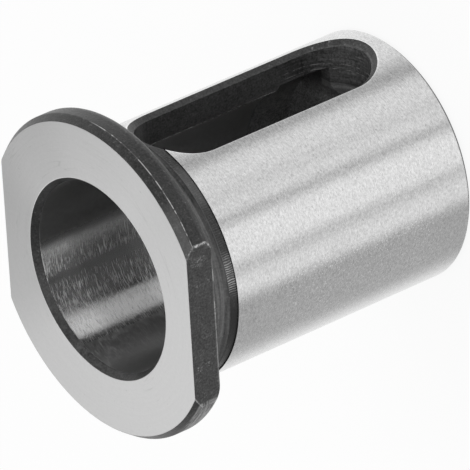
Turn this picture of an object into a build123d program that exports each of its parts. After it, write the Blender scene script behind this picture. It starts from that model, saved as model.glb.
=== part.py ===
# Reducing drill sleeve, turned, milled and ground from one piece of hardened steel.
# It fits a 19.05 mm (3/4 in) drill shank to a holder whose bore is 25 mm.
# A shoulder in the bore's rear end stops the drill's shank.
# The axis is +Z. The sleeve stands on its rear end at Z = 0, with the collar on top.
# The clamping slot opens towards -Y, and the collar's two flats face -X and +X.

import os

from build123d import *

# Driving dimensions, in millimetres
overall_length = 35.0
shank_diameter = 25.0
bore_diameter = 19.05
rear_chamfer = 0.4

# Collar: a shallow chamfer round its face, a rounded edge behind, and two flats
collar_diameter = 32.2
collar_thickness = 3.0
collar_flats = 27.5
face_chamfer = 0.55
face_chamfer_depth = 0.8
seat_round = 0.85

# Bore's mouth in the collar's face
mouth_chamfer = 0.5
mouth_chamfer_depth = 0.7

# Bore's rear end: an undercut, then the shoulder with a hole through it
shoulder_thickness = 3.75
hole_diameter = 12.0
undercut_length = 5.45
undercut_depth = 0.4

# Neck between shank and collar: a land just under the ground size, then a relief
neck_length = 3.7
land_length = 0.9
land_step = 0.1
relief_depth = 0.35
relief_fillet = 0.4

# Clamping slot in one wall, with a broken outer edge that runs over the shank's front edge.
# It is milled past the bore's wall, so it leaves a floor in the shoulder, this far from the axis.
slot_width = 8.8
slot_rear_margin = 2.45
slot_overrun = 0.25
slot_edge_break = 0.6
slot_floor = 7.35
slot_floor_fillet = 0.4

# Radii
shank_radius = shank_diameter / 2
bore_radius = bore_diameter / 2
undercut_radius = bore_radius + undercut_depth
hole_radius = hole_diameter / 2
collar_radius = collar_diameter / 2
face_radius = collar_radius - face_chamfer
land_radius = shank_radius - land_step
relief_radius = land_radius - relief_depth
mid_wall_radius = (bore_radius + shank_radius) / 2

# Stations along the axis
undercut_front = shoulder_thickness + undercut_length
collar_rear = overall_length - collar_thickness
shank_front = collar_rear - neck_length
land_front = shank_front + land_length
slot_front = shank_front + slot_overrun
slot_length = slot_front - slot_rear_margin
slot_centre = slot_rear_margin + slot_length / 2


def distance_from_axis(edge):
    middle = edge.center()
    return Vector(middle.X, middle.Y).length


def on_slot_floor(edge):
    return abs(edge.center().Y + slot_floor) < 0.01


with BuildPart() as drill_sleeve:
    # Blank: shank, collar and stepped bore as one turned section, its seam on the slot's side
    with BuildSketch(Plane.left):
        with BuildLine():
            Polyline(
                (hole_radius + rear_chamfer, 0),
                (shank_radius - rear_chamfer, 0),
                (shank_radius, rear_chamfer),
                (shank_radius, collar_rear),
                (collar_radius, collar_rear),
                (collar_radius, overall_length - face_chamfer_depth),
                (face_radius, overall_length),
                (bore_radius + mouth_chamfer, overall_length),
                (bore_radius, overall_length - mouth_chamfer_depth),
                (bore_radius, undercut_front),
                (undercut_radius, undercut_front - undercut_depth),
                (undercut_radius, shoulder_thickness),
                (hole_radius, shoulder_thickness),
                (hole_radius, rear_chamfer),
                close=True,
            )
        blank_section = make_face()
        rim_corners = blank_section.vertices().group_by(Axis.X)[-1]
        fillet(rim_corners.sort_by(Axis.Y)[0], seat_round)
    revolve(axis=Axis.Z)

    # Clamping slot: milled through one wall only, with full round ends
    with BuildSketch(Plane.XZ.offset(slot_floor)):
        with Locations((0, slot_centre)):
            SlotOverall(slot_length, slot_width, rotation=90)
    extrude(amount=shank_diameter, mode=Mode.SUBTRACT)
    slot_edges = edges(Select.LAST)
    outer_edges = slot_edges.filter_by(lambda edge: distance_from_axis(edge) > mid_wall_radius)
    floor_edges = slot_edges.filter_by(GeomType.CIRCLE).filter_by(on_slot_floor)
    chamfer(outer_edges, slot_edge_break)
    fillet(floor_edges, slot_floor_fillet)

    # Neck: the relief slopes down from the land and ends in a fillet at the collar
    with BuildSketch(Plane.left):
        with BuildLine():
            Polyline(
                (land_radius, shank_front),
                (land_radius, land_front),
                (relief_radius, land_front + relief_depth),
                (relief_radius, collar_rear),
                (shank_diameter, collar_rear),
                (shank_diameter, shank_front),
                close=True,
            )
        neck_section = make_face()
        relief_corners = neck_section.vertices().group_by(Axis.X)[0]
        fillet(relief_corners.sort_by(Axis.Y)[-1], relief_fillet)
    revolve(axis=Axis.Z, mode=Mode.SUBTRACT)

    # Flats: two opposite sides of the collar milled away
    with BuildSketch(Plane.XY.offset(collar_rear)):
        Rectangle(2 * collar_diameter, 2 * collar_diameter)
        Rectangle(collar_flats, 2 * collar_diameter, mode=Mode.SUBTRACT)
    extrude(amount=collar_thickness, mode=Mode.SUBTRACT)

drill_sleeve.part.label = "drill_sleeve"

os.makedirs("parts", exist_ok=True)
export_step(drill_sleeve.part, "parts/drill_sleeve.step")
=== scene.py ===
# Reducing drill sleeve: ground shank and collar face, honed bore, blackened everywhere else.
# Sizes are millimetres. Angles round the axis run from -Y towards -X, in degrees.

import math

import bmesh
import bpy
from mathutils import Matrix, Vector
from mathutils.geometry import delaunay_2d_cdt


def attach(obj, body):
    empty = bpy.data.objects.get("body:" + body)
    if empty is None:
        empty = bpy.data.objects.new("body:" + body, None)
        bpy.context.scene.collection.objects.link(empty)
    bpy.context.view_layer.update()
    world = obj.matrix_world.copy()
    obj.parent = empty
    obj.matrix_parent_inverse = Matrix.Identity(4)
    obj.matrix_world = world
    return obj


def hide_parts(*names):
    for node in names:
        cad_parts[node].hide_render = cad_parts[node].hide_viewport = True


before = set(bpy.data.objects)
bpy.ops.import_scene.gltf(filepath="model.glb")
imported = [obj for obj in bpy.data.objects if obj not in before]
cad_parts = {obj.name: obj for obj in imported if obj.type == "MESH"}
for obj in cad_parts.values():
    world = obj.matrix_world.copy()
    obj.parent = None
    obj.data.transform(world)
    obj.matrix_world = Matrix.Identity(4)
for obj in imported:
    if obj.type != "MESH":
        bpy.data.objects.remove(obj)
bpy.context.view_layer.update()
metre = 0.001  # one millimetre, in the frame's metres
print("frame loaded")


# Camera

cameraSetup = {
    "place": (-667.21, -455.26, 533.45),
    "right": (-0.63265166, 0.05328406, -0.77260124),
    "down": (-0.33960619, 0.87750322, 0.33860851),
    "lens": 783.98,
    "sensor": 36.0,
}


def makeCamera(setup):
    data = bpy.data.cameras.new("studioCamera")
    data.sensor_fit = "HORIZONTAL"
    data.sensor_width = setup["sensor"]
    data.lens = setup["lens"]
    data.clip_start, data.clip_end = 0.01, 100
    camera = bpy.data.objects.new("studioCamera", data)
    bpy.context.scene.collection.objects.link(camera)
    across = Vector(setup["right"]).normalized()
    upwards = -Vector(setup["down"])
    upwards = (upwards - across * upwards.dot(across)).normalized()
    turn = Matrix((across, upwards, across.cross(upwards))).transposed().to_4x4()
    camera.matrix_world = Matrix.Translation(Vector(setup["place"]) * metre) @ turn
    bpy.context.scene.camera = camera


makeCamera(cameraSetup)
bpy.context.scene.view_settings.view_transform = "Standard"
print("camera placed")


# Shader maths: a Reading wraps a socket, and each operator adds one Math node

class Reading:
    def __init__(self, maker, socket):
        self.maker = maker
        self.socket = socket

    def maths(self, operation, *others):
        return self.maker.node("Math", {"operation": operation}, dict(enumerate((self, *others))))

    def reflected(self, operation, other):
        return self.maker.node("Math", {"operation": operation}, {0: other, 1: self})

    def __add__(self, other):
        return self.maths("ADD", other)

    __radd__ = __add__

    def __sub__(self, other):
        return self.maths("SUBTRACT", other)

    def __rsub__(self, other):
        return self.reflected("SUBTRACT", other)

    def __mul__(self, other):
        return self.maths("MULTIPLY", other)

    __rmul__ = __mul__

    def __truediv__(self, other):
        return self.maths("DIVIDE", other)

    def __pow__(self, other):
        return self.maths("POWER", other)

    def __abs__(self):
        return self.maths("ABSOLUTE")


class Shading:
    def __init__(self, tree):
        self.tree = tree
        self.tree.nodes.clear()

    # One node: its settings go in first, then the values or links of its sockets
    def node(self, kind, settings=(), inputs=(), out=0):
        made = self.tree.nodes.new("ShaderNode" + kind)
        for name, value in dict(settings).items():
            setattr(made, name, value)
        for key, value in dict(inputs).items():
            if isinstance(value, Reading):
                self.tree.links.new(value.socket, made.inputs[key])
            else:
                made.inputs[key].default_value = value
        return Reading(self, made.outputs[out] if len(made.outputs) else None)

    def split(self, vector):
        parts = self.node("SeparateXYZ", {}, {0: vector})
        return [Reading(self, output) for output in parts.socket.node.outputs]

    def join(self, x, y, z):
        return self.node("CombineXYZ", {}, {0: x, 1: y, 2: z})

    def step(self, value, low, high):
        return self.node("MapRange", {"interpolation_type": "SMOOTHSTEP"},
                         {"Value": value, "From Min": low, "From Max": high})

    def ridge(self, value, place, width):
        return 1 - self.step(abs(value - place), 0.0, width)

    def stretch(self, vector, by):
        return self.node("VectorMath", {"operation": "MULTIPLY"}, {0: vector, 1: by})

    def noise(self, vector, scale, detail, roughness):
        sockets = {"Vector": vector, "Scale": scale, "Detail": detail, "Roughness": roughness}
        return self.node("TexNoise", {"noise_dimensions": "3D"}, sockets)

    def uneven(self, vector, scale, detail, roughness):
        # A noise that goes both ways from zero
        return self.noise(vector, scale, detail, roughness) - 0.5

    def spots(self, vector, scale, detail, roughness, low, high):
        # 1 where a noise is over high, 0 where it is under low
        return self.step(self.noise(vector, scale, detail, roughness), low, high)

    def between(self, value, low, high, soft):
        # 1 from low to high, fading out over soft beyond both
        return self.step(value, low - soft, low) * (1 - self.step(value, high, high + soft))

    def spans(self, value, entries):
        # Stretches of a value added up, each given as from, to, fade and strength
        total = 0.0
        for low, high, soft, strength in entries:
            total = self.between(value, low, high, soft) * strength + total
        return total

    def within(self, here, limits):
        # 1 where each reading that is named lies in its stretch, given as from, to and fade
        inside = 1.0
        for name, stretch in limits.items():
            inside = self.between(here[name], *stretch) * inside
        return inside

    def rays(self):
        # 1 for what the camera sees, and 1 for what metal or glass shows
        seen, mirrored, through = (self.node("LightPath", out="Is %s Ray" % kind)
                                   for kind in ("Camera", "Glossy", "Transmission"))
        return seen, mirrored + through

    def bump(self, height, strength, distance):
        sockets = {"Height": height, "Strength": strength, "Distance": distance * metre}
        return self.node("Bump", {}, sockets)

    def grey(self, tone):
        return (tone, tone, tone, 1.0)


# Stage: a plain white floor, a pale tent round it and three soft lamps

stageSetup = {
    "floorSize": 12000.0,
    "floorWhite": 0.85,
    "floorShine": 0.9,  # strength of the floor's own white, for the camera and in mirrored rays
    "tentFill": 0.75,  # brightness of the tent as a light
    "tentTop": 0.59,  # brightness of its top against its sides, in what the metal mirrors
    "tentTopStart": (0.15, 0.5),  # rise of a ray between which the top sets in
    "tentTurn": 55.7,  # bearing of the camera, from which the tent's sides are counted
    "tentSeam": -50,  # side where the count starts again, in an evenly lit part
    # dark flags that the metal mirrors as stripes: start, full from, full to, end, and depth
    "flags": (
        (-25, 20, 100, 120, 0.1),
        (28, 52, 52, 61, 0.53),
        (76, 86, 90, 99, 0.11),
        (103, 109, 109, 120, 0.45),
        (144, 150, 153, 163, 0.37),
        (158, 162, 166, 173, 0.06),
        (173, 184, 232, 270, 0.52),
        (182, 186, 187, 192, 0.07),
    ),
    # lamps: bearing and height in degrees, watts
    "frontLamp": {"azimuth": 62.0, "height": 38.0, "distance": 1000.0, "size": 360.0, "power": 0.9},
    "topLamp": {"azimuth": -35.0, "height": 55.0, "distance": 1000.0, "size": 600.0, "power": 1.6},
    "faceLamp": {"azimuth": 220.0, "height": 56.0, "distance": 120.0, "size": 60.0,
                 "power": 0.0115},
}


def makeFloor(setup):
    half = setup["floorSize"] / 2 * metre
    mesh = bpy.data.meshes.new("studioFloor")
    corners = [(-half, -half, 0), (half, -half, 0), (half, half, 0), (-half, half, 0)]
    mesh.from_pydata(corners, [], [(0, 1, 2, 3)])
    floor = bpy.data.objects.new("studioFloor", mesh)
    bpy.context.scene.collection.objects.link(floor)
    material = bpy.data.materials.new("white floor")
    material.use_nodes = True
    made = Shading(material.node_tree)
    seen, reflected = made.rays()
    matt = made.node("BsdfDiffuse", {}, {"Color": made.grey(setup["floorWhite"])})
    white = made.node("Emission", {}, {"Color": made.grey(1.0), "Strength": 1.0})
    either = (seen + reflected) * setup["floorShine"]
    surface = made.node("MixShader", {}, {0: either, 1: matt, 2: white})
    made.node("OutputMaterial", {}, {"Surface": surface})
    mesh.materials.append(material)
    floor.visible_glossy = False


def makeTent(setup):
    world = bpy.data.worlds.new("studioTent")
    world.use_nodes = True
    bpy.context.scene.world = world
    made = Shading(world.node_tree)
    seen, reflected = made.rays()
    eastward, northward, upward = made.split(made.node("TexCoord", out="Generated"))
    bearing = (eastward * -1).maths("ARCTAN2", northward * -1) * (180 / math.pi)
    seam = setup["tentSeam"]
    side = (bearing + (setup["tentTurn"] - seam)).maths("FLOORED_MODULO", 360) + seam
    shade = 0.0
    for start, fullFrom, fullTo, end, depth in setup["flags"]:
        flag = made.step(side, start, fullFrom) * (1 - made.step(side, fullTo, end))
        shade = flag * depth + shade
    top = made.step(upward, *setup["tentTopStart"])
    brightness = (1 - shade) * (1 - top * (1 - setup["tentTop"]))
    pale = made.node("Background", {}, {"Color": made.grey(1.0), "Strength": brightness})
    fill = made.node("Background", {}, {"Color": made.grey(1.0), "Strength": setup["tentFill"]})
    white = made.node("Background", {}, {"Color": made.grey(1.0), "Strength": 1.0})
    lit = made.node("MixShader", {}, {0: reflected, 1: fill, 2: pale})
    shown = made.node("MixShader", {}, {0: seen, 1: lit, 2: white})
    made.node("OutputWorld", {}, {"Surface": shown})


def makeLamp(name, setup):
    data = bpy.data.lights.new(name, "AREA")
    data.shape = "SQUARE"
    data.size = setup["size"] * metre
    data.energy = setup["power"]
    lamp = bpy.data.objects.new(name, data)
    bpy.context.scene.collection.objects.link(lamp)
    around, above = math.radians(setup["azimuth"]), math.radians(setup["height"])
    level = math.cos(above)
    towards = Vector((-math.sin(around) * level, -math.cos(around) * level, math.sin(above)))
    lamp.location = towards * setup["distance"] * metre
    lamp.rotation_mode = "QUATERNION"
    lamp.rotation_quaternion = towards.to_track_quat("Z", "Y")
    lamp.visible_camera = False


makeFloor(stageSetup)
makeTent(stageSetup)
for lampName in ("frontLamp", "topLamp", "faceLamp"):
    makeLamp(lampName, stageSetup[lampName])
print("stage made")


# Sleeve: its section is turned round the axis, with the slot's two outlines worked into the skin

sleeve = {
    "length": 35.0,
    "shankRadius": 12.5,
    "boreRadius": 9.525,
    "rearChamfer": 0.4,
    "shoulder": 3.75,  # thickness of the shoulder at the bore's rear end
    "holeRadius": 6.0,
    "undercutLength": 5.45,
    "undercutDepth": 0.4,
    "collarRadius": 16.1,
    "collarThickness": 3.0,
    "flatDistance": 13.75,
    "faceChamfer": (0.55, 0.8),  # across, along
    "seatRound": 0.85,
    "mouthChamfer": (0.5, 0.7),
    "neckLength": 3.7,
    "landLength": 0.9,
    "landStep": 0.1,
    "reliefDepth": 0.35,
    "reliefFillet": 0.4,
    "slotWidth": 8.8,
    "slotRear": 2.45,
    "slotOverrun": 0.25,
    "slotBreak": 0.6,
    "slotFloor": 7.35,  # distance of the milled floor in the shoulder from the axis
    "floorFillet": 0.4,
    "boreBreak": 0.09,  # the honed edge between slot and bore
    "leastBreak": 0.03,  # the same in the undercut and on the shoulder
    "breakFade": 0.5,
    "edgeSoftness": 0.06,
    "wornSoftness": 0.1,
    "flatCornerSoftness": 0.016,
    "flatEasing": 0.25,  # share of the seat's round that eases the flats' edge
}

# How fine the sleeve's mesh is
meshSetup = {
    "columnStep": 1.0,  # degrees between two columns of the skin
    "cornerColumn": 0.45,  # degrees from a flat's corner to the columns that hold it
    "cornerGap": 0.7,
    "hold": 0.04,  # distance from an eased corner to the rows that hold it
    "windowHalf": 34.0,  # half the angle of the skin that is cut to the slot's outlines
    # how far that skin reaches past the slot: behind it, in front of it, and in on the shoulder
    "rearMargin": 0.2,
    "frontMargin": 1.2,
    "innerMargin": 0.3,
    "breakBands": 3,  # bands of faces across the slot's broken edge
    "edgeStep": 0.2,  # steps of the slot's inner edge on the shoulder
    "leastStep": 0.03,
    # rows of triangles in the two windows, and how far they keep from bends and outline
    "levelStep": 0.55,
    "bendGap": 0.15,
    "ringGap": 0.14,
    # the slot's sheet: its first row's depth, its steps, and how far these keep from its outline
    "wallTop": -12.4,
    "wallStep": 0.45,
    "floorStep": 0.3,
    "columnWidth": 0.42,
    "wallGap": 0.13,
    "filletGap": 0.04,
    "sharpAngle": 32,  # degrees between two faces from which their edge is shown sharp
}


def seatHeight(sizes):
    return sizes["length"] - sizes["collarThickness"]


def shankFront(sizes):
    return seatHeight(sizes) - sizes["neckLength"]


def flatCorner(sizes):
    # Angle from the middle of a flat to its corners on the collar's rim
    return math.degrees(math.acos(sizes["flatDistance"] / sizes["collarRadius"]))


def neighbours(ring):
    # Each entry of a closed ring with the one that follows it
    return zip(ring, ring[1:] + ring[:1])


def sectionCorners(sizes):
    # Each corner: name, radius, height, softness, finish of the run that follows, rows in that run
    bore, shank, collar = sizes["boreRadius"], sizes["shankRadius"], sizes["collarRadius"]
    length, rear = sizes["length"], sizes["rearChamfer"]
    hole, undercut, shoulder = sizes["holeRadius"], bore + sizes["undercutDepth"], sizes["shoulder"]
    undercutFront = shoulder + sizes["undercutLength"]
    seat = seatHeight(sizes)
    land = shank - sizes["landStep"]
    landFront = shankFront(sizes) + sizes["landLength"]
    relief = land - sizes["reliefDepth"]
    soft, wearAndHighlight = sizes["edgeSoftness"], sizes["wornSoftness"]
    faceAcross, faceAlong = sizes["faceChamfer"]
    mouthAcross, mouthAlong = sizes["mouthChamfer"]
    return [
        ("rearFace", hole + rear, 0, soft, "blackened", 6),
        ("rearEdge", shank - rear, 0, soft, "blackened", 1),
        ("shank", shank, rear, soft, "ground", 26),
        ("step", shank, shankFront(sizes), 0, "blackened", 1),
        ("land", land, shankFront(sizes), 0, "blackened", 4),
        ("slope", land, landFront, soft * 0.7, "blackened", 2),
        ("relief", relief, landFront + sizes["reliefDepth"], soft, "blackened", 8),
        ("seat", relief, seat, sizes["reliefFillet"], "blackened", 6),
        ("rim", collar, seat, sizes["seatRound"], "blackened", 6),
        ("faceEdge", collar, length - faceAlong, wearAndHighlight, "blackened", 4),
        ("face", collar - faceAcross, length, soft, "face", 10),
        ("mouth", bore + mouthAcross, length, soft, "blackened", 3),
        ("bore", bore, length - mouthAlong, wearAndHighlight, "bore", 26),
        ("cone", bore, undercutFront, soft, "turned", 1),
        ("undercut", undercut, undercutFront - sizes["undercutDepth"], soft, "turned", 6),
        ("shoulder", undercut, shoulder, soft, "turned", 8),
        ("hole", hole, shoulder, soft, "turned", 4),
        ("holeEdge", hole, rear, soft, "blackened", 1),
    ]


def roundedSection(corners):
    # Rows of the section, with each corner eased and held by a row on both sides of it
    rows, hold = [], meshSetup["hold"]

    def addRow(point, finish, corner, stage, share):
        rows.append({"radius": point.x, "height": point.y, "finish": finish,
                     "corner": corner, "stage": stage, "share": share})

    for index, (name, radius, height, soft, finish, steps) in enumerate(corners):
        here = Vector((radius, height))
        following = corners[(index + 1) % len(corners)]
        ahead = Vector(following[1:3])
        back = (Vector(corners[index - 1][1:3]) - here).normalized()
        forth = (ahead - here).normalized()
        lastFinish = corners[index - 1][4]
        leave = here
        if soft:
            start, end = here + back * soft, here + forth * soft
            addRow(start + back * hold, lastFinish, name, "before", 0.0)
            arced = soft > 0.2  # the fillet and the round are arcs between faces at right angles
            turns = 8 if arced else 4
            for turn in range(turns + 1):
                share = turn / turns
                if arced:
                    turned = share * math.pi / 2
                    bulge = (forth * math.cos(turned) + back * math.sin(turned)) * soft
                    point = start + end - here - bulge
                else:
                    left = 1 - share
                    point = start * left ** 2 + here * 2 * share * left + end * share ** 2
                addRow(point, lastFinish if share < 0.5 else finish, name, "turn", share)
            leave = end + forth * hold
        addRow(leave, finish, name, "after", 1.0)
        reach = following[3] + hold if following[3] else 0
        arrive = ahead - forth * reach
        for step in range(1, steps):
            addRow(leave.lerp(arrive, step / steps), finish, name, "run", step / steps)
    return rows


def flatsOutline(sizes, radius, limit, angle):
    # A circle's point at this angle, moved onto the nearer flat where it would pass it
    side = 90.0 if angle > 0 else -90.0
    fromFlat = angle - side
    nominal = flatCorner(sizes)
    corner = math.degrees(math.acos(limit / radius)) if radius > limit else 0.0
    if corner and abs(fromFlat) < nominal - 1e-6:
        turned = math.radians(fromFlat * corner / nominal)
        across, along = limit, limit * math.tan(turned)
    else:
        share = (abs(fromFlat) - nominal) / (90 - nominal)
        turned = corner + share * (90 - corner) if corner else abs(fromFlat)
        turned = math.radians(math.copysign(turned, fromFlat))
        across, along = radius * math.cos(turned), radius * math.sin(turned)
    if corner and abs(abs(fromFlat) - nominal) < 1e-6:
        pull = 1 - sizes["flatCornerSoftness"] / radius
        across, along = across * pull, along * pull
    # back from the flat's own axes: across points at the flat, along towards larger angles
    if side > 0:
        return -across, along
    return across, -along


def columnAngles(sizes):
    # Angles of the skin's columns, closer beside the flats' corners
    step, nominal = meshSetup["columnStep"], flatCorner(sizes)
    angles = [-180 + step * index for index in range(round(360 / step))]
    corners = [side + way * nominal for side in (-90, 90) for way in (-1, 1)]
    kept = [angle for angle in angles
            if all(abs(angle - corner) > meshSetup["cornerGap"] for corner in corners)]
    for corner in corners:
        kept += [corner - meshSetup["cornerColumn"], corner, corner + meshSetup["cornerColumn"]]
    return sorted(kept)


def tubePoint(radius, turned, height):
    # turned runs round the axis from -Y towards +X, in radians
    return Vector((radius * math.sin(turned), -radius * math.cos(turned), height))


def slotFrame(sizes):
    # The slot's half width, the heights of its round ends' centres and of its middle, and the
    # lengths of its straight and its round runs
    half = sizes["slotWidth"] / 2
    rear = sizes["slotRear"] + half
    front = shankFront(sizes) + sizes["slotOverrun"] - half
    return half, rear, front, (rear + front) / 2, front - rear, math.pi * half


def trackAt(sizes, run):
    # The slot's wall at a distance round it, from the middle of its -X side towards the front:
    # across, height, and the wall's outward direction
    half, rear, front, middle, straight, arc = slotFrame(sizes)

    def endPoint(centre, turned):
        outX, outZ = math.sin(turned), math.cos(turned)
        return half * outX, centre + half * outZ, outX, outZ

    if run <= straight / 2:
        return -half, middle + run, -1.0, 0.0
    run -= straight / 2
    if run <= arc:
        return endPoint(front, run / half - math.pi / 2)
    run -= arc
    if run <= straight:
        return half, front - run, 1.0, 0.0
    run -= straight
    if run <= arc:
        return endPoint(rear, run / half + math.pi / 2)
    return -half, rear + run - arc, -1.0, 0.0


def trackRun(sizes, height, side):
    # The distance round the slot's wall at this height, on the -X or the +X side
    half, rear, front, middle, straight, arc = slotFrame(sizes)
    if height > front:
        return (straight + arc) / 2 + side * half * math.acos(min(1.0, (height - front) / half))
    if height < rear:
        return (straight + arc) * 1.5 - side * half * math.acos(min(1.0, (rear - height) / half))
    if side > 0:
        return straight / 2 + arc + front - height
    return height - middle if height >= middle else 2 * (straight + arc) + height - middle


def trackRuns(sizes):
    # Distances round the slot's wall for its points, with the whole way round as the last one
    *_, straight, arc = slotFrame(sizes)
    runs, start = [], 0.0
    stretches = ((straight / 2, 18), (arc, 45), (straight, 36), (arc, 45), (straight / 2, 18))
    for length, steps in stretches:
        runs += [start + length * step / steps for step in range(steps)]
        start += length
    return runs + [start]


def trackRing(track, radius, offset):
    # The slot's wall where it meets a tube of this radius, moved outwards over the tube's skin
    ring = []
    for across, along, outX, outZ in track:
        turned = math.asin(across / radius)
        lean = Vector((outX, outZ / math.cos(turned))).normalized() * offset
        ring.append((turned * radius + lean.x, along + lean.y))
    return ring


def insidePolygon(point, ring):
    inside = False
    for first, second in neighbours(ring):
        if (first[1] > point[1]) != (second[1] > point[1]):
            share = (point[1] - first[1]) / (second[1] - first[1])
            if point[0] < first[0] + share * (second[0] - first[0]):
                inside = not inside
    return inside


def ringDistance(point, ring):
    # How far a point is from a ring, and the place along the ring that is nearest
    nearest, place = 1e9, 0.0
    for index, (first, second) in enumerate(neighbours(ring)):
        spanX, spanZ = second[0] - first[0], second[1] - first[1]
        acrossX, acrossZ = point[0] - first[0], point[1] - first[1]
        square = spanX * spanX + spanZ * spanZ
        share = (acrossX * spanX + acrossZ * spanZ) / square if square else 0.0
        share = min(1.0, max(0.0, share))
        away = math.hypot(acrossX - share * spanX, acrossZ - share * spanZ)
        if away < nearest:
            nearest, place = away, index + share
    return nearest, place


def clearOf(spot, ring, inside, gap):
    # Whether a spot is on this side of a ring and far enough from it
    return insidePolygon(spot, ring) == inside and ringDistance(spot, ring)[0] > gap


def shankSkin(sizes, around, rise):
    # The unrolled skin of the shank, the step in front of it and the land, as one sheet
    shank = sizes["shankRadius"]
    fall = min(max(rise - shankFront(sizes), 0.0), sizes["landStep"])
    return tubePoint(shank - fall, around / shank, rise - fall)


def innerProfile(rows):
    # The bore's section as one line that rises from its last row: rise, radius, height, finish
    profile, rise = [], 0.0
    for row in reversed(rows):
        if profile:
            rise += math.hypot(row["radius"] - profile[-1][1], row["height"] - profile[-1][2])
        profile.append((rise, row["radius"], row["height"], row["finish"]))
    return profile


def profileAt(profile, rise):
    # The section's radius, height and finish at this rise
    for lower, upper in zip(profile, profile[1:]):
        if rise <= upper[0] + 1e-6:
            break
    share = (rise - lower[0]) / (upper[0] - lower[0])
    radius, height = (lower[part] + (upper[part] - lower[part]) * share for part in (1, 2))
    return radius, height, upper[3]


def profileRise(profile, height):
    # The rise at which the section first reaches this height
    for lower, upper in zip(profile, profile[1:]):
        if upper[2] - lower[2] > 1e-6 and lower[2] <= height <= upper[2]:
            return lower[0] + (upper[0] - lower[0]) * (height - lower[2]) / (upper[2] - lower[2])


def innerSkin(profile, around, rise):
    radius, height, _ = profileAt(profile, rise)
    return tubePoint(radius, around, height)


def slotSheet(sizes, run, depth):
    # The slot's cut surface as one sheet: its wall, then the fillet and the floor in the shoulder
    fillet = sizes["floorFillet"]
    across, height, outX, outZ = trackAt(sizes, run)
    past = depth + sizes["slotFloor"] + fillet
    if past <= 0:
        return Vector((across, depth, height))
    turned = min(past / fillet, math.pi / 2)
    inset = fillet * (1 - math.cos(turned)) + max(0.0, past - fillet * math.pi / 2)
    sunk = fillet * (math.sin(turned) - 1) - sizes["slotFloor"]
    return Vector((across - outX * inset, sunk, height - outZ * inset))


def edgePoint(radius, across, rise, run, depth):
    # A point of the slot's inner edge: its place on the bore's skin and on the slot's sheet
    angle = math.asin(across / radius)
    return {"radius": radius, "angle": angle, "rise": rise, "run": run, "depth": depth}


def innerEdge(sizes, profile, runs):
    # The line where the slot's sheet meets the bore's section, in the track's direction
    half, rear, front, middle, _, _ = slotFrame(sizes)
    shoulder, floor, fillet = sizes["shoulder"], sizes["slotFloor"], sizes["floorFillet"]
    corner = trackAt(sizes, trackRun(sizes, shoulder, 1))[0]
    filletRadius = math.hypot(corner, floor + fillet)
    faceRise = profileRise(profile, shoulder + 1e-4)
    faceRadius = profileAt(profile, faceRise)[0]
    lowest = faceRise - faceRadius + filletRadius
    start, highest = profileRise(profile, middle), profileRise(profile, front + half)
    rises = [lowest, start, highest]
    rises += [entry[0] for entry in profile if lowest + 0.05 < entry[0] < highest - 0.01]
    rises += [lowest + step * meshSetup["edgeStep"] for step in range(1, 6)]
    for run in runs[:-1]:
        height = trackAt(sizes, run)[1]
        if height > shoulder + 0.1:
            rise = profileRise(profile, height)
            if all(abs(rise - other) > meshSetup["leastStep"] for other in rises):
                rises.append(rise)
    rises.sort()
    first = rises.index(start)

    def wallPoint(rise, side):
        radius, height, _ = profileAt(profile, rise)
        run = trackRun(sizes, min(height, front + half), side)
        across = trackAt(sizes, run)[0]
        return edgePoint(radius, across, rise, run, -math.sqrt(radius ** 2 - across ** 2))

    def floorPoint(inset, side):
        # on the shoulder's face, where the sheet is this far in from the slot's wall
        reach = half - inset
        turned = math.acos(min(1.0, (rear - shoulder) / reach))
        run = trackRun(sizes, rear - half * math.cos(turned), side)
        if inset < fillet:
            past = fillet * math.acos(1 - inset / fillet)
        else:
            past = fillet * math.pi / 2 + inset - fillet
        depth = past - floor - fillet
        place = slotSheet(sizes, run, depth)
        radius = math.hypot(place.x, place.y)
        return edgePoint(radius, place.x, faceRise - faceRadius + radius, run, depth)

    points = [wallPoint(rise, -1) for rise in rises[first:]]
    points += [wallPoint(rise, 1) for rise in rises[-2::-1]]
    deepest = half - rear + shoulder
    turns = [fillet * (1 - math.cos(math.pi / 2 * step / 5)) for step in range(1, 6)]
    turns += [deepest - (deepest - fillet) * (1 - step / 8) ** 2 for step in range(1, 9)]
    points += [floorPoint(inset, 1) for inset in turns]
    points += [floorPoint(inset, -1) for inset in turns[-2::-1]]
    points += [wallPoint(rise, -1) for rise in rises[:first]]
    return points


def edgeBreakAt(sizes, profile, rise):
    # Width of the eased edge between slot and bore, least in the undercut and on the shoulder
    boreRear = profileRise(profile, sizes["shoulder"] + sizes["undercutLength"])
    least, widest = sizes["leastBreak"], sizes["boreBreak"]
    return least + (widest - least) * min(max((rise - boreRear) / sizes["breakFade"], 0.0), 1.0)


def easedEdge(sizes, profile, edge, whole):
    # The edge's two sides: over the bore's skin (angle, rise) and up the slot's sheet (run, depth)
    onSkin, onSheet = [], []
    for index, here in enumerate(edge):
        before, after = edge[index - 1], edge[(index + 1) % len(edge)]
        width = edgeBreakAt(sizes, profile, here["rise"])
        around = (after["angle"] - before["angle"]) * here["radius"]
        along = Vector((around, after["rise"] - before["rise"])).normalized() * width
        onSkin.append((here["angle"] - along.y / here["radius"], here["rise"] + along.x))
        span = after["run"] - before["run"]
        if span < -whole / 2:
            span += whole
        along = Vector((span, after["depth"] - before["depth"])).normalized() * width
        onSheet.append((here["run"] + along.y, here["depth"] - along.x))
    return onSkin, onSheet


def breakRulings(sizes, track):
    # The broken outer edge as straight rulings, from the slot's wall up to the shank's skin
    shank, size = sizes["shankRadius"], sizes["slotBreak"]
    rulings = []
    for (across, along, _, _), (around, height) in zip(track, trackRing(track, shank, size)):
        foot = Vector((across, size - math.sqrt(shank ** 2 - across ** 2), along))
        rulings.append((foot, tubePoint(shank, around / shank, height)))
    return rulings


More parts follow.
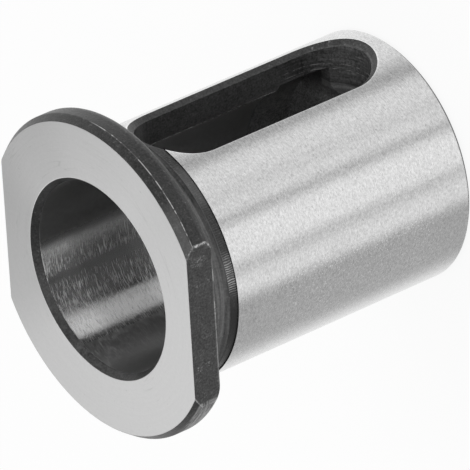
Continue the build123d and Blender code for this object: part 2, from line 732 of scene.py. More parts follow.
def breakOutline(sizes, rulings):
    # Where each ruling leaves the metal: on the shank, on the step in front of it, or on the land
    shank, stepHeight = sizes["shankRadius"], shankFront(sizes)
    ring = []
    for foot, top in rulings:
        point = top
        if top.z > stepHeight:
            low, high = 0.0, 1.0
            for _ in range(40):
                middle = (low + high) / 2
                point = foot.lerp(top, middle)
                if math.hypot(point.x, point.y) > shank - sizes["landStep"]:
                    high = middle
                else:
                    low = middle
            if point.z < stepHeight:
                point = foot.lerp(top, (stepHeight - foot.z) / (top.z - foot.z))
        rise = point.z + shank - math.hypot(point.x, point.y)
        ring.append((math.atan2(point.x, -point.y) * shank, rise))
    return ring


def fillSheet(skin, border, lines, place, kind):
    # Triangles of an unrolled sheet, whose border's vertices are there already.
    # Each line is its spots and the number of edges between them that the triangles keep
    points, edges = [], []
    for line, count in [([spot for _, spot in border], len(border))] + lines:
        first = len(points)
        points += line
        edges += [(first + index, first + (index + 1) % len(line)) for index in range(count)]
    points = [Vector(spot) for spot in points]
    spots, _, triangles, sources, _, _ = delaunay_2d_cdt(points, edges, [], kind, 1e-7)
    made = []
    for spot, source in zip(spots, sources):
        kept = [index for index in source if index < len(border)]
        made.append(border[kept[0]][0] if kept else skin.addPoint(place(spot.x, spot.y)))
    return spots, triangles, sources, made


def cutWindow(skin, grid, arounds, rises, bends, ring, place, finishOf):
    # A window of the skin, filled between its border and the slot's ring, which stays open.
    # arounds and rises are the places of the grid's columns and rows once it is unrolled, and
    # bends are the rows that the triangles keep as lines.
    # Returns the ring's vertices, each with its place along the ring
    lastRow, lastColumn = len(rises) - 1, len(arounds) - 1
    cells = [(0, column) for column in range(lastColumn)]
    cells += [(row, lastColumn) for row in range(lastRow)]
    cells += [(lastRow, column) for column in range(lastColumn, 0, -1)]
    cells += [(row, 0) for row in range(lastRow, 0, -1)]
    border = [(grid[row][column], (arounds[column], rises[row])) for row, column in cells]
    lowest, highest = min(rises), max(rises)
    levels = round((highest - lowest) / meshSetup["levelStep"])
    heights = [lowest + (highest - lowest) * level / levels for level in range(1, levels)]
    heights = [height for height in heights
               if all(abs(height - rises[row]) > meshSetup["bendGap"] for row in bends)]
    fill = [(around, height) for around in arounds[1:-1] for height in heights
            if clearOf((around, height), ring, False, meshSetup["ringGap"])]
    lines = [(ring, len(ring))]
    lines += [([(around, rises[row]) for around in arounds], lastColumn) for row in bends]
    spots, triangles, sources, made = fillSheet(skin, border, lines + [(fill, 0)], place, 0)
    rim = set()
    for triangle in triangles:
        middle = sum((spots[index] for index in triangle), Vector((0, 0))) / 3
        if insidePolygon(middle, ring):
            continue
        skin.addFace([made[index] for index in triangle], finishOf(middle.y))
        for first, second in neighbours(triangle):
            if (second, first) in rim:
                rim.remove((second, first))
            else:
                rim.add((first, second))
    onBorder = {index for index, source in enumerate(sources)
                if any(part < len(border) for part in source)}
    onRing = {first for first, second in rim if first not in onBorder or second not in onBorder}
    ringParts = range(len(border), len(border) + len(ring))
    placed = []
    for index in onRing:
        own = [part - len(border) for part in sources[index] if part in ringParts]
        placed.append((made[index], own[0] if own else ringDistance(spots[index], ring)[1]))
    return sorted(placed, key=lambda entry: entry[1])


def alongRing(values, place):
    # A value between two of a ring's points; the ring's first value is repeated as its last
    index = min(int(place), len(values) - 2)
    return values[index].lerp(values[index + 1], place - index)


def cutWall(skin, sizes, top, bottom, whole, finish):
    # The slot's sheet, unrolled as run and depth, between its upper and its lower line
    steps = 7
    high, low = top[0][1].y, bottom[0][1].y
    seam = []
    for step in range(1, steps):
        depth = high + (low - high) * step / steps
        seam.append((skin.addPoint(slotSheet(sizes, 0.0, depth)), depth))
    border = [(vertex, (spot.x, spot.y)) for vertex, spot in top] + [(top[0][0], (whole, high))]
    border += [(vertex, (whole, depth)) for vertex, depth in seam] + [(bottom[0][0], (whole, low))]
    border += [(vertex, (spot.x, spot.y)) for vertex, spot in reversed(bottom)]
    border += [(vertex, (0.0, depth)) for vertex, depth in reversed(seam)]
    # the rows of its triangles, each with how far they keep from the outline
    fillet, wallGap, filletGap = sizes["floorFillet"], meshSetup["wallGap"], meshSetup["filletGap"]
    levels = [(meshSetup["wallTop"] + meshSetup["wallStep"] * step, wallGap) for step in range(10)]
    levels += [(-sizes["slotFloor"] - fillet + fillet * math.pi / 2 * step / 5, filletGap)
               for step in range(6)]
    levels += [(levels[-1][0] + meshSetup["floorStep"] * step, filletGap) for step in range(1, 4)]
    outline = [spot for _, spot in border]
    columns = round(whole / meshSetup["columnWidth"])
    arounds = [whole * column / columns for column in range(1, columns)]
    fill = [(around, level) for around in arounds for level, gap in levels
            if clearOf((around, level), outline, True, gap)]
    _, triangles, _, made = fillSheet(skin, border, [(fill, 0)],
                                      lambda run, depth: slotSheet(sizes, run, depth), 1)
    for triangle in triangles:
        skin.addFace([made[index] for index in triangle], finish)


class Skin:
    def __init__(self):
        self.points = []
        self.faces = []
        self.finishes = []

    def addPoint(self, point):
        self.points.append(tuple(point))
        return len(self.points) - 1

    def addFace(self, corners, finish):
        self.faces.append(corners)
        self.finishes.append(finish)

    def addBand(self, first, second, finish):
        for (low, lowNext), (high, highNext) in zip(neighbours(first), neighbours(second)):
            self.addFace([low, lowNext, highNext, high], finish)


def flatPlace(sizes, row):
    # How far in the flats hold this row, and the height that it has there
    soft, distance, share = sizes["edgeSoftness"], sizes["flatDistance"], row["share"]
    corner, stage, easing = row["corner"], row["stage"], sizes["flatEasing"]
    if (corner, stage) in (("rim", "before"), ("face", "after")):
        return distance - soft - meshSetup["hold"], row["height"]
    if (corner, stage) == ("rim", "turn") and share <= easing:
        eased = share / easing
        return distance - soft * (1 - eased) ** 2, seatHeight(sizes) + soft * eased ** 2
    if (corner, stage) == ("face", "turn"):
        return distance - soft * share ** 2, sizes["length"] - soft * (1 - share) ** 2
    return distance, row["height"]


def rowPoints(sizes, row, angles):
    # One row of the skin all round, following the flats where the row is on the collar's outside
    if row["corner"] not in ("rim", "faceEdge", "face"):
        return [tubePoint(row["radius"], -math.radians(angle), row["height"]) for angle in angles]
    limit, flatHeight = flatPlace(sizes, row)
    nominal = flatCorner(sizes)
    points = []
    for angle in angles:
        across, along = flatsOutline(sizes, row["radius"], limit, angle)
        inwards = nominal - abs(abs(angle) - 90)
        share = 0.5 if abs(inwards) < 1e-6 else float(inwards > 0)
        points.append(Vector((across, along, row["height"] + (flatHeight - row["height"]) * share)))
    return points


def webPoints(rows, made, index, makeRow):
    # A row of a flat ring, between the last row before its run and the first row after it
    first = last = index
    while rows[first]["stage"] == "run":
        first -= 1
    while rows[last % len(rows)]["stage"] == "run":
        last += 1
    share, after = rows[index]["share"], makeRow(rows[last % len(rows)])
    return [start.lerp(end, share) for start, end in zip(made[first], after)]


def skinRows(sizes, rows, angles):
    # The points of all rows; the seat and the face are webs between their outlines
    made = []
    for index, row in enumerate(rows):
        if row["corner"] in ("seat", "face") and row["stage"] == "run":
            made.append(webPoints(rows, made, index, lambda after: rowPoints(sizes, after, angles)))
        else:
            made.append(rowPoints(sizes, row, angles))
    return made


def rowsOf(rows, corners, keep):
    # Numbers of the rows that belong to these corners and are to be kept
    return [index for index, row in enumerate(rows) if row["corner"] in corners and keep(row)]


def makeOuterWindow(skin, sizes, rows, window, arounds, runs):
    # The shank, the step and the land, cut to the broken edge's outline, and the broken edge down
    # to the slot's wall. Returns the wall's upper line on the slot's sheet
    shank = sizes["shankRadius"]
    rulings = breakRulings(sizes, [trackAt(sizes, run) for run in runs[:-1]])
    rises = [row["height"] + shank - row["radius"] for row in rows]
    bends = [index for index in range(1, len(rows) - 1)
             if rows[index]["height"] >= shankFront(sizes) - 1e-6]
    outer = cutWindow(skin, window, [around * shank for around in arounds], rises, bends,
                      breakOutline(sizes, rulings),
                      lambda around, rise: shankSkin(sizes, around, rise),
                      lambda rise: "ground" if rise < shankFront(sizes) else "blackened")
    feet = [foot for foot, _ in rulings]
    feet = [alongRing(feet + feet[:1], place) for _, place in outer]
    last = [vertex for vertex, _ in outer]
    tops = [Vector(skin.points[vertex]) for vertex in last]
    bands = meshSetup["breakBands"]
    for step in range(1, bands + 1):
        band = [skin.addPoint(top.lerp(foot, step / bands)) for top, foot in zip(tops, feet)]
        skin.addBand(last, band, "blackened")
        last = band
    places = [Vector((run, 0)) for run in runs]
    return [(vertex, Vector((alongRing(places, place).x, foot.y)))
            for vertex, foot, (_, place) in zip(last, feet, outer)]


def makeInnerWindow(skin, sizes, rows, window, arounds, runs):
    # The bore, the undercut, the shoulder and its hole, cut to the slot's inner edge, and the
    # eased edge. Returns the wall's lower line on the slot's sheet
    bore = sizes["boreRadius"]
    profile = innerProfile(rows)
    edge = innerEdge(sizes, profile, runs)
    onSkin, onSheet = easedEdge(sizes, profile, edge, runs[-1])
    rises = [entry[0] for entry in reversed(profile)]
    bends = [index for index in range(1, len(rows) - 1) if rows[index]["corner"] != "bore"]
    inner = cutWindow(skin, window, [around * bore for around in arounds], rises, bends,
                      [(angle * bore, rise) for angle, rise in onSkin],
                      lambda around, rise: innerSkin(profile, around / bore, rise),
                      lambda rise: profileAt(profile, rise)[2])
    onSheet = [Vector(spot) for spot in onSheet]
    closed = onSheet + [onSheet[0] + Vector((runs[-1], 0))]
    lower = []
    for _, place in inner:
        spot = alongRing(closed, place)
        lower.append((skin.addPoint(slotSheet(sizes, spot.x, spot.y)), spot))
    boreRear = sizes["shoulder"] + sizes["undercutLength"]
    for (below, belowNext), (above, aboveNext) in zip(neighbours(lower), neighbours(inner)):
        finish = "bore" if skin.points[below[0]][2] > boreRear else "blackened"
        skin.addFace([below[0], belowNext[0], aboveNext[0], above[0]], finish)
    return lower


def buildSleeve(sizes):
    skin = Skin()
    rows = roundedSection(sectionCorners(sizes))
    angles = columnAngles(sizes)
    grid = [[skin.addPoint(point) for point in points] for points in skinRows(sizes, rows, angles)]

    # the two windows, as ranges of rows and columns
    inWindow = [index for index, angle in enumerate(angles)
                if abs(angle) <= meshSetup["windowHalf"] + 1e-6]
    firstColumn, lastColumn = inWindow[0], inWindow[-1]
    outside = ("shank", "step", "land")
    behind = sizes["slotRear"] - sizes["slotBreak"] - meshSetup["rearMargin"]
    ahead = shankFront(sizes) + meshSetup["frontMargin"]
    inside = sizes["slotFloor"] - meshSetup["innerMargin"]
    low = max(rowsOf(rows, outside, lambda row: row["height"] < behind))
    high = max(rowsOf(rows, outside, lambda row: True)) + 1
    boreLow = min(rowsOf(rows, ("bore",),
                         lambda row: row["stage"] == "run" and row["height"] < ahead))
    boreHigh = min(rowsOf(rows, ("shoulder",), lambda row: row["radius"] < inside))
    for index, (row, (here, following)) in enumerate(zip(rows, neighbours(grid))):
        windowed = low <= index < high or boreLow <= index < boreHigh
        for column, (first, second) in enumerate(zip(neighbours(here), neighbours(following))):
            if not (windowed and firstColumn <= column < lastColumn):
                skin.addFace([*first, *reversed(second)], row["finish"])

    arounds = [-math.radians(angle) for angle in angles[firstColumn:lastColumn + 1]]
    runs = trackRuns(sizes)
    windows = ((makeOuterWindow, low, high), (makeInnerWindow, boreLow, boreHigh))
    lines = []
    for makeWindow, start, end in windows:
        window = [line[firstColumn:lastColumn + 1] for line in grid[start:end + 1]]
        lines.append(makeWindow(skin, sizes, rows[start:end + 1], window, arounds, runs))
    cutWall(skin, sizes, *lines, runs[-1], "blackened")
    return skin


def makeSleeve(sizes, finishes):
    skin = buildSleeve(sizes)
    mesh = bpy.data.meshes.new("drillSleeve")
    shaped = bmesh.new()
    points = [shaped.verts.new(Vector(point) * metre) for point in skin.points]
    names = list(finishes)
    for corners, finish in zip(skin.faces, skin.finishes):
        face = shaped.faces.new([points[corner] for corner in corners])
        face.material_index = names.index(finish)
        face.smooth = True
    loose = [point for point in shaped.verts if not point.link_faces]
    bmesh.ops.delete(shaped, geom=loose, context="VERTS")
    bmesh.ops.recalc_face_normals(shaped, faces=shaped.faces)
    openEdges = sum(1 for edge in shaped.edges if not edge.is_manifold)
    shaped.to_mesh(mesh)
    shaped.free()
    for finish in finishes.values():
        mesh.materials.append(finish)
    mesh.set_sharp_from_angle(angle=math.radians(meshSetup["sharpAngle"]))
    piece = bpy.data.objects.new("drillSleeve", mesh)
    bpy.context.scene.collection.objects.link(piece)
    print("sleeve made:", len(mesh.polygons), "faces,", openEdges, "open edges")
    return piece


# Finishes: patterns are read in the sleeve's own millimetres

def newFinish(name):
    # The material, its shading and the readings of a point: its place, its radius and its angle
    material = bpy.data.materials.new(name)
    material.use_nodes = True
    made = Shading(material.node_tree)
    place = made.stretch(made.node("TexCoord", out="Object"), (1 / metre, 1 / metre, 1 / metre))
    x, y, height = made.split(place)
    radius = (x * x + y * y) ** 0.5
    angle = (x * -1).maths("ARCTAN2", y * -1) * (180 / math.pi)
    here = {"place": place, "x": x, "y": y, "height": height, "radius": radius, "angle": angle}
    return material, made, here


def finishSurface(made, tone, roughness, metallic, normal, fixed):
    # fixed holds the surface's other sockets, each one plain number
    colour = made.join(tone, tone, tone)
    values = {"Base Color": colour, "Roughness": roughness, "Metallic": metallic, "Normal": normal}
    values.update(fixed)
    surface = made.node("BsdfPrincipled", {}, values)
    made.node("OutputMaterial", {}, {"Surface": surface})


groundShank = {
    "tone": 0.74,
    "mottle": 0.68,  # this and the next five are shares of the tone
    "grain": 0.88,
    "cloud": 0.06,
    "speckDark": 0.2,
    "speckLight": 0.3,
    "nicks": 0.6,
    "nicked": {"angle": (90.0, 112.0, 7.0), "height": (6.0, 21.0, 4.0)},  # from, to, fade
    "roughness": 0.26,
    "roughnessSpread": 0.08,
    "anisotropy": {"Anisotropic": 0.85, "Anisotropic Rotation": 0.25},
    "relief": 0.004,
    "rimWidth": 0.16,  # bright line left round the slot's broken edge
    "rimLight": 0.3,
    "chordShare": 0.979,  # the way straight across the slot's edge against the way round the shank
}


def makeGroundShank(setup):
    material, made, here = newFinish("ground shank")
    place = here["place"]
    mottle = made.uneven(place, 4.4, 3.0, 0.65)
    grain = made.uneven(made.stretch(place, (2.6, 2.6, 7.5)), 1.0, 3.0, 0.65)
    cloud = made.uneven(place, 0.35, 3.0, 0.5)
    dark = made.spots(place, 3.4, 1.0, 0.5, 0.68, 0.78)
    light = made.spots(made.stretch(place, (1.0, 1.0, 1.4)), 4.3, 1.0, 0.5, 0.7, 0.8)
    nicks = made.spots(made.stretch(place, (2.2, 2.2, 3.0)), 1.9, 2.0, 0.7, 0.58, 0.68)
    nicks = made.within(here, setup["nicked"]) * nicks
    half, _, _, middle, straight, _ = slotFrame(sleeve)
    across = abs(here["angle"]) * (math.pi / 180 * sleeve["shankRadius"] * setup["chordShare"])
    along = (abs(here["height"] - middle) - straight / 2).maths("MAXIMUM", 0.0)
    fromSlot = (across * across + along * along) ** 0.5 - half - sleeve["slotBreak"]
    rim = 1 - made.step(fromSlot, 0.0, setup["rimWidth"])
    share = 1 + mottle * setup["mottle"] + grain * setup["grain"] + cloud * setup["cloud"]
    share = share - dark * setup["speckDark"] + light * setup["speckLight"]
    share = share + rim * setup["rimLight"] + nicks * setup["nicks"]
    roughness = setup["roughness"] + (mottle + grain) * setup["roughnessSpread"]
    bumps = made.bump(mottle + grain * 0.8 - dark * 0.5 - nicks * 1.5, 0.5, setup["relief"])
    finishSurface(made, share * setup["tone"], roughness, 1.0, bumps, setup["anisotropy"])
    return material


collarFace = {
    "tone": 0.5,
    "mottle": 0.14,  # this and the next four are shares of the tone
    "rings": 0.12,
    "arcs": 0.12,
    "pits": 0.14,
    "rubbedLight": 0.2,
    "rubbed": (-130.0, -20.0, 30.0),  # painted highlight along the mouth's edge: from angle, to angle, fade
    "rubbedWidth": 0.12,
    "arcWidth": 0.012,
    # painted reflection, darker on one stretch of the face and lighter on another: from angle, to
    # angle, fade, share added
    "patches": ((-110.0, -78.0, 32.0, -0.13), (-8.0, 25.0, 25.0, 0.07)),
    "roughness": 0.42,
    "ringRoughness": 0.06,
    "mottleRoughness": 0.04,
    "relief": 0.002,
}


def makeCollarFace(setup):
    material, made, here = newFinish("ground collar face")
    place, radius, angle = here["place"], here["radius"], here["angle"]

    def ringVector(around, across, shift):
        # A noise vector drawn out round the axis: turns slowly with the angle, fast with the radius
        outwards = [here[name] / radius * around for name in ("x", "y")]
        return made.join(*outwards, radius * across + shift)

    mottle = made.uneven(place, 3.2, 3.0, 0.6)
    rings = made.uneven(ringVector(2.5, 7.0, 0.0), 1.0, 3.0, 0.6)
    arcs = made.ridge(made.noise(ringVector(1.2, 1.6, 9.0), 1.0, 1.0, 0.5), 0.5, setup["arcWidth"])
    arcs = arcs * made.spots(place, 0.16, 1.0, 0.5, 0.46, 0.6)
    pits = made.spots(place, 2.6, 1.0, 0.5, 0.76, 0.8)
    mouth = sleeve["boreRadius"] + sleeve["mouthChamfer"][0]
    # painted highlight: a lighter ring along the mouth's edge, over part of the way round
    rubbed = 1 - made.step(radius, mouth, mouth + setup["rubbedWidth"])
    rubbed = rubbed * made.between(angle, *setup["rubbed"])
    share = 1 + mottle * setup["mottle"] + rings * setup["rings"] - arcs * setup["arcs"]
    share = share - pits * setup["pits"] + rubbed * setup["rubbedLight"]
    # the painted reflection: the face darker on one stretch and lighter on another
    share = share * (1 + made.spans(angle, setup["patches"]))
    roughness = setup["roughness"] + rings * setup["ringRoughness"]
    roughness = roughness + mottle * setup["mottleRoughness"]
    bumps = made.bump(rings + mottle * 0.6 - arcs, 0.4, setup["relief"])
    finishSurface(made, share * setup["tone"], roughness, 1.0, bumps, {})
    return material


honedBore = {
    "tone": 0.6,
    "metal": 0.97,
    "streaks": 0.5,  # share of the tone that the honing scratches add
    "mottle": 0.2,
    "roughness": 0.17,
    "mottleRoughness": 0.08,
    "streakRoughness": 0.5,  # added where honing scratches lie close together
    "lean": 0.134,  # rise of the honing scratches along the bore for each millimetre round it
    # where the scratches show, near the mouth: from angle, to angle, fade, strength, even haze
    "scratched": ((-176.0, -152.0, 10.0, 0.5, 0.0), (-146.0, -121.0, 8.0, 0.9, 0.0),
                  (-140.0, -131.0, 7.0, 0.4, 0.2), (-110.0, -99.0, 4.0, 1.2, 0.08)),
    "scratchedElsewhere": 0.05,
    "mouthEnd": (21.0, 25.0),  # heights between which the finish near the mouth sets in
    "outerEnd": (26.0, 33.0),
    "deepScratches": (-110.0, -99.0, 6.0),  # from angle, to angle, fade
    "deepRelief": 1.4,
    "deepTone": 0.34,
    "smooth": (-153.0, -94.0, 6.0),  # the finer finish near the mouth, which the bore's painted light and shade also follow: from angle, to angle, fade
    # painted light on the finer finish towards the mouth, where light falls in
    "outerTone": 0.08,
    "dimHeights": (25.5, 29.5, 2.8),  # a painted shade band across it: from height, to height, fade
    "dim": 0.26,
    "dullRoughness": 0.16,  # added everywhere else
    # painted shade near the mouth, away from the finer finish
    "dullTone": 0.36,
    "innerTone": 0.1,  # the bore's inner half, which shows through the slot
    "edgeTone": 0.9,
    "edgeRoughness": 0.2,
    "relief": 0.01,
    "anisotropy": {"Anisotropic": 0.85, "Anisotropic Rotation": 0.25},
}


def makeHonedBore(setup):
    material, made, here = newFinish("honed bore")
    place, height, angle = here["place"], here["height"], here["angle"]
    # measured from the side away from the slot, so that the pattern's seam lies in the slot
    around = here["x"].maths("ARCTAN2", here["y"]) * sleeve["boreRadius"]
    steep = made.join(around * 1.0, (height + around * setup["lean"]) * 8.5, 0.0)
    shallow = made.join(around * 0.7, (height + around * setup["lean"] * 0.5) * 5.2, 7.0)
    first = made.noise(steep, 1.0, 2.0, 0.6)
    second = made.noise(shallow, 1.0, 2.0, 0.6)
    scratches = made.step(first, 0.5, 0.68) * 0.7 + made.step(second, 0.54, 0.7) * 0.6
    patches = made.spots(place, 0.4, 2.0, 0.5, 0.35, 0.6)
    dense, haze = setup["scratchedElsewhere"], 0.0
    for start, end, fade, strength, even in setup["scratched"]:
        there = made.between(angle, start, end, fade)
        dense = there * strength + dense
        haze = there * even + haze
    mouth = made.step(height, *setup["mouthEnd"])
    outer = made.step(height, *setup["outerEnd"])
    streaks = (scratches * (0.5 + 0.5 * patches) * dense + haze * outer) * mouth
    deep = made.between(angle, *setup["deepScratches"]) * (0.3 + 0.7 * outer)
    smooth = made.between(angle, *setup["smooth"])
    mottle = made.uneven(place, 2.2, 3.0, 0.5)
    # painted light towards the mouth
    tone = setup["tone"] + deep * setup["deepTone"] + outer * smooth * setup["outerTone"]
    tone = tone * (0.8 + streaks * setup["streaks"] + mottle * setup["mottle"])
    # painted shade near the mouth, away from the finer finish
    tone = tone * (1 - (1 - smooth) * mouth * setup["dullTone"])
    # a painted shade band across the finer finish
    tone = tone * (1 - smooth * made.between(height, *setup["dimHeights"]) * setup["dim"])
    tone = tone * (1 + (1 - mouth) * setup["innerTone"])
    # the eased edge of the slot, rubbed bright in places
    onEdge = made.step(here["radius"], sleeve["boreRadius"] + 0.01, sleeve["boreRadius"] + 0.03)
    edge = onEdge * made.spots(place, 1.4, 3.0, 0.7, 0.42, 0.58)
    tone = (tone * (1 - edge) + edge * setup["edgeTone"]).maths("MINIMUM", 1.0)
    roughness = setup["roughness"] + mottle * setup["mottleRoughness"]
    roughness = roughness + streaks * setup["streakRoughness"] + edge * setup["edgeRoughness"]
    roughness = roughness + (1 - smooth * mouth) * (1 - onEdge) * setup["dullRoughness"]
    scored = (first + second * 0.6) * (1 + deep * setup["deepRelief"])
    bumps = made.bump(scored, 1.0, setup["relief"])
    finishSurface(made, tone, roughness, setup["metal"], bumps, setup["anisotropy"])
    return material


wornSteelAndHighlights = {
    "tone": 0.62,  # bare steel where the blackening has gone
    "roughness": 0.34,
    "cornerWidth": 0.07,
    "frontCorner": (8.0, 50.0, 14.0),  # from angle, to angle, fade, as the next two
    # the next two places: rubbed lines under a painted highlight on the low rim, and a painted
    # highlight on the chamfer
    "lowRim": (120.0, 131.0, 12.0),
    "chamferEnd": (48.0, 60.0, 9.0),
    "lowRimLight": 0.44,
    "chamferEndLight": 0.1,
    "rearRound": {"height": (32.45, 32.8, 0.2), "radius": (15.8, 17.0, 0.1)},  # from, to, fade
    "slotSpot": {"angle": (-20.5, -17.0, 3.0), "height": (3.4, 4.4, 0.8),
                 "radius": (12.1, 13.0, 0.1)},
    "slotSpotLight": 0.5,
    # bright dashes on the near flat's rear edge: from y, to y, fade, strength
    "flatDashes": ((-5.3, -4.2, 0.25, 0.9), (-1.8, -0.7, 0.25, 0.8), (-0.5, 4.8, 0.25, 0.42)),
    # scuffs on the near flat: middle in y and z, half length and half width, strength
    "flatScuffs": ((-6.7, 33.6, 0.6, 1.1, 0.36), (4.4, 34.2, 0.5, 0.4, 0.5),
                   (4.2, 33.3, 0.4, 0.35, 0.35), (-4.3, 33.4, 0.3, 1.1, 0.22),
                   (-1.84, 34.5, 0.24, 0.24, 0.3), (1.6, 33.2, 0.8, 0.8, 0.1)),
    "flatHaze": 0.05,
}


def nearFlat(made, here):
    # 1 on the near flat, and how far a point is from the flat's plane
    fromPlane = here["x"] + sleeve["flatDistance"]
    return 1 - made.step(fromPlane, 0.03, 0.08), fromPlane


def wornEdgesAndHighlights(made, here, setup):
    # Bare steel on the collar's corners, round the near flat and on the slot's broken edge, with
    # painted highlights on the chamfer and on the rim below the near flat
    place, height, radius, angle = (here[name] for name in ("place", "height", "radius", "angle"))
    seat, collar = seatHeight(sleeve), sleeve["collarRadius"]
    faceAcross, faceAlong = sleeve["faceChamfer"]
    chamfer = sleeve["length"] - faceAlong
    dashes = made.spots(place, 1.3, 3.0, 0.7, 0.42, 0.56)
    specks = made.spots(place, 3.0, 2.0, 0.6, 0.58, 0.68)
    fine = made.noise(place, 2.6, 3.0, 0.7)
    outside = made.step(radius, collar - 0.25, collar - 0.15)
    frontCorner = made.ridge(height, chamfer, setup["cornerWidth"]) * outside
    frontCorner = frontCorner * made.between(angle, *setup["frontCorner"]) * (0.12 + 0.88 * dashes)
    rearRound = made.within(here, setup["rearRound"]) * (0.035 + specks * 0.09)
    # the flat's outline, where its plane leaves the rim, the chamfer in front and the round behind
    onFlat, fromPlane = nearFlat(made, here)
    frontFall = (height - chamfer).maths("MAXIMUM", 0.0) * (faceAcross / faceAlong)
    rearRise = (seat + sleeve["seatRound"] - height).maths("MAXIMUM", 0.0)
    rearReach = (sleeve["seatRound"] ** 2 - rearRise * rearRise).maths("MAXIMUM", 0.0) ** 0.5
    fromRim = collar - frontFall - (sleeve["seatRound"] - rearReach) - radius
    ragged = (fine - 0.5) * 0.4
    outline = (1 - made.step(fromRim + ragged, 0.02, 0.09)) * onFlat
    upper = made.step(here["y"] * -1, 5.5, 6.5)
    broken = made.spots(place, 3.4, 2.0, 0.6, 0.42, 0.6)
    top = upper * (0.22 + 0.78 * broken) * (1 - made.step(height, chamfer, chamfer + 0.1) * 0.55)
    outline = outline * (top + (1 - upper) * (0.12 + 0.5 * dashes))
    # the burr that the cutter pushed up beside the flat's upper end
    burr = (1 - made.step(fromPlane + ragged * 0.5, 0.05, 0.12)) * (1 - onFlat)
    burr = burr * made.step(fine, 0.5, 0.62) * upper * 0.8
    # dashes along the flat's rear edge, and scuffs on the flat
    rearEdge = (1 - made.step(height, seat + 0.03, seat + 0.14)) * onFlat
    marks = made.spots(place, 1.6, 2.0, 0.5, 0.35, 0.5) * rearEdge
    marks = made.spans(here["y"], setup["flatDashes"]) * marks
    scuffs = made.spots(place, 0.42, 1.0, 0.5, 0.5, 0.62) * setup["flatHaze"]
    for y, z, halfLong, halfWide, strength in setup["flatScuffs"]:
        patch = 1 - made.step(abs(here["y"] - y), halfLong * 0.5, halfLong)
        patch = patch * (1 - made.step(abs(height - z), halfWide * 0.5, halfWide))
        scuffs = scuffs + patch * strength
    scratches = made.spots(made.stretch(place, (1.0, 2.2, 1.6)), 2.2, 4.0, 0.8, 0.5, 0.66)
    scuffs = scuffs * scratches * onFlat
    # rubbed lines under a painted highlight on the rim below the near flat, a painted highlight on
    # the chamfer above it, a spot beside the slot
    lines = made.noise(made.join(angle * 0.12, height * 6.0, 3.0), 1.0, 3.0, 0.7)
    lowRim = made.between(angle, *setup["lowRim"]) * made.step(lines, 0.36, 0.62) * outside
    onChamfer = made.step(height, chamfer + 0.05, chamfer + 0.12) * (1 - onFlat)
    chamferEnd = made.between(angle, *setup["chamferEnd"]) * onChamfer * (0.3 + fine)
    slotSpot = made.within(here, setup["slotSpot"]) * specks
    wearAndHighlight = frontCorner + rearRound + outline + burr + marks + scuffs + lowRim * setup["lowRimLight"]
    wearAndHighlight = wearAndHighlight + chamferEnd * setup["chamferEndLight"] + slotSpot * setup["slotSpotLight"]
    return wearAndHighlight.maths("MINIMUM", 1.0)


blackened = {
    "tone": 0.018,
    "mottle": 1.0,  # this and the next three are shares of the tone
    "grain": 3.6,
    "lines": 0.5,
    "clouds": 1.4,
    "specks": 0.06,
    "roughness": 0.4,
    "roughnessSpread": 0.22,
    "relief": 0.026,
    # each light below is added to the tone
    # painted light over the slot's walls
    "slotLight": 0.014,
    "milled": 0.03,  # the cutter's fine lines on the slot's wall
    "milledEnd": 0.11,
    "wallLines": (-9.85, -9.3),  # y of the deeper lines
    "wallLight": 0.24,
    "slotEndLight": 0.018,
    "slotFloorLight": 0.05,
    "flatLight": 0.02,
    "chatterPitch": 1.05,  # degrees between two marks on the neck's land
    "chatterLight": 0.38,
    # where they show: from angle, to angle, fade, strength
    "chatter": ((74.0, 80.0, 9.0, 1.0), (20.0, 62.0, 15.0, 0.07)),
    # painted highlights on the land: their strength, then where they show as from angle, to angle,
    # fade, strength
    "landLight": 0.064,
    "landGlow": ((31.0, 38.0, 12.0, 1.0), (74.0, 78.0, 8.0, 0.8)),
    "landEdge": (15.0, 75.0, 15.0),  # from angle, to angle, fade
    "landEdgeLight": 0.07,
    "landEnd": (86.0, 95.0),  # angles between which the painted shade on the land's far side sets in
    "landDull": 0.85,
    "grooveLight": 0.085,  # painted light in the relief behind the collar, which lies in shade
    "lipLight": 0.012,
    "mouthSide": (-150.0, -108.0, 20.0),
    "mouthLight": 0.014,
}


def slotLights(made, here, mottle, setup):
    # 1 in the slot, its milled wall's light with painted light over the slot's walls, and that of
    # its rear end, its floor and the deep lines
    place, height = here["place"], here["height"]
    half = sleeve["slotWidth"] / 2
    inSlot = 1 - made.step(abs(here["x"]), half + 0.01, half + 0.04)
    inSlot = inSlot * (1 - made.step(here["radius"], 12.0, 12.1))
    milled = made.uneven(made.stretch(place, (0.25, 6.0, 0.25)), 1.0, 3.0, 0.7)
    milled = milled * (setup["milled"] + setup["milledEnd"] * (1 - made.step(height, 6.0, 10.0)))
    cuts = 0.0
    for y in setup["wallLines"]:
        cuts = made.ridge(here["y"], y, 0.05) + cuts
    cuts = cuts * (1 - made.step(height, 7.0, 10.0)) * made.spots(place, 1.5, 3.0, 0.7, 0.4, 0.58)
    rearEnd = (1 - made.step(height, 3.5, 7.5)) * made.step(here["y"] * -1, 7.9, 8.3)
    rearEnd = rearEnd * (1 + mottle * 3)
    bottom = made.between(here["y"], -7.7, -7.3, 0.2) * (1 - made.step(height, 3.85, 4.0))
    extra = cuts * setup["wallLight"] + rearEnd * setup["slotEndLight"]
    extra = extra + bottom * setup["slotFloorLight"]
    return inSlot, inSlot * (milled + setup["slotLight"]), inSlot * extra


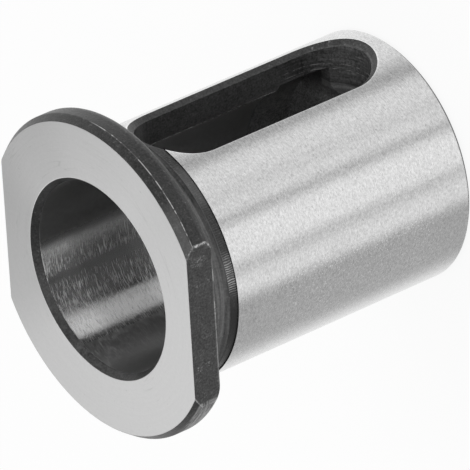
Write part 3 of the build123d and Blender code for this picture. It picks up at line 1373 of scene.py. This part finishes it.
def neckLights(made, here, mottle, setup):
    # The neck: its land's chatter ridges and the painted shade on the land's far side, and the
    # light of land, lip and groove, of which the land's bright bands and the groove's light are
    # painted
    place, height, angle, radius = (here[name] for name in ("place", "height", "angle", "radius"))
    landRear, landFront = shankFront(sleeve), shankFront(sleeve) + sleeve["landLength"]
    onLand = made.between(height, landRear + 0.05, landFront - 0.03, 0.04)
    wander = made.noise(place, 0.9, 2.0, 0.6)
    wave = (angle * (math.tau / setup["chatterPitch"]) + wander * 9).maths("SINE")
    ridges = made.step(wave, 0.1, 0.7) * made.spans(angle, setup["chatter"]) * onLand
    ridges = ridges * (0.35 + 0.65 * made.spots(place, 1.6, 2.0, 0.5, 0.4, 0.6))
    landEdge = made.ridge(height, landFront, 0.07) * made.between(angle, *setup["landEdge"])
    # painted highlights: lighter bands across the land
    paintedLandHighlight = onLand * made.spans(angle, setup["landGlow"])
    # painted shade: the land darker on its far side
    paintedLandShade = onLand * made.step(angle, *setup["landEnd"]) * setup["landDull"]
    inGroove = made.between(height, landFront + 0.12, seatHeight(sleeve) + 0.1, 0.15)
    inGroove = inGroove * (1 - made.step(radius, 15.0, 15.6)) * made.step(radius, 11.9, 12.0)
    turning = made.uneven(made.stretch(place, (0.2, 0.2, 4.2)), 1.0, 2.0, 0.6)
    # painted light in the shaded relief behind the collar
    paintedGrooveTone = (inGroove * setup["grooveLight"] * (1 + turning * 3 + mottle)).maths("MAXIMUM", 0.0)
    onLip = made.between(radius, 11.95, 12.5, 0.05)
    onLip = onLip * (1 - made.step(height, landRear - 0.1, landRear))
    light = ridges * setup["chatterLight"] + landEdge * setup["landEdgeLight"]
    light = light + paintedLandHighlight * setup["landLight"] + paintedGrooveTone
    return ridges, paintedLandShade, light + onLip * setup["lipLight"] * (1 + mottle * 5)


def makeBlackened(setup, wearAndHighlightSettings, name="blackened steel", paintedFillLight=0.0):
    # the tone added for one of the finishes is painted light, lightening the turned surfaces
    # inside, which lie in shade, away from the slot
    material, made, here = newFinish(name)
    place, height = here["place"], here["height"]
    mottle = made.uneven(place, 2.4, 3.0, 0.65)
    grain = made.uneven(place, 4.8, 2.0, 0.7)
    lines = made.uneven(made.stretch(place, (0.35, 0.35, 9.0)), 1.0, 3.0, 0.6)
    clouds = made.uneven(made.stretch(place, (0.8, 0.8, 1.6)), 1.0, 3.0, 0.7)
    inSlot, wall, slotLight = slotLights(made, here, mottle, setup)
    ridges, paintedLandShade, neckLight = neckLights(made, here, mottle, setup)
    specks = made.spots(place, 4.6, 2.0, 0.6, 0.56, 0.7) * setup["specks"]
    specks = specks * made.step(clouds, -0.12, 0.12) * (1 - inSlot * 0.7)
    share = 1 + mottle * setup["mottle"] + grain * setup["grain"]
    share = (share + lines * setup["lines"] + clouds * setup["clouds"]).maths("MAXIMUM", 0.1)
    # painted light on the shaded turned surfaces, away from the slot
    level = (1 - made.step(here["y"] * -1, 5.5, 8.0)) * paintedFillLight + wall
    level = level + nearFlat(made, here)[0] * setup["flatLight"] + setup["tone"]
    onMouth = made.step(height, sleeve["length"] - 0.69, sleeve["length"] - 0.65)
    onMouth = onMouth * (1 - made.step(here["radius"], 10.0, 10.03))
    mouthLight = onMouth * made.between(here["angle"], *setup["mouthSide"]) * (1 + mottle * 4)
    # the painted shade on the land's far side takes the tone down there
    tone = (share * level + specks) * (1 - paintedLandShade) + neckLight + slotLight
    tone = tone + mouthLight * setup["mouthLight"]
    # bare steel where the blackening has worn through, and painted highlights
    wearAndHighlight = wornEdgesAndHighlights(made, here, wearAndHighlightSettings)
    tone = tone + (wearAndHighlightSettings["tone"] - setup["tone"]) * wearAndHighlight
    roughness = setup["roughness"] + (mottle + grain + lines * 0.5) * setup["roughnessSpread"]
    roughness = roughness + (wearAndHighlightSettings["roughness"] - setup["roughness"]) * wearAndHighlight
    bumps = made.bump(mottle + grain + lines * 0.7 + ridges * 2, 0.8, setup["relief"])
    finishSurface(made, tone, roughness, wearAndHighlight, bumps, {"IOR": 1.5})
    return material


finishes = {
    "ground": makeGroundShank(groundShank),
    "face": makeCollarFace(collarFace),
    "bore": makeHonedBore(honedBore),
    "turned": makeBlackened(blackened, wornSteelAndHighlights, "turned undercut", 0.085),
    "blackened": makeBlackened(blackened, wornSteelAndHighlights),
}
print("finishes made")
piece = makeSleeve(sleeve, finishes)
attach(piece, "root")
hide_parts("drill_sleeve")
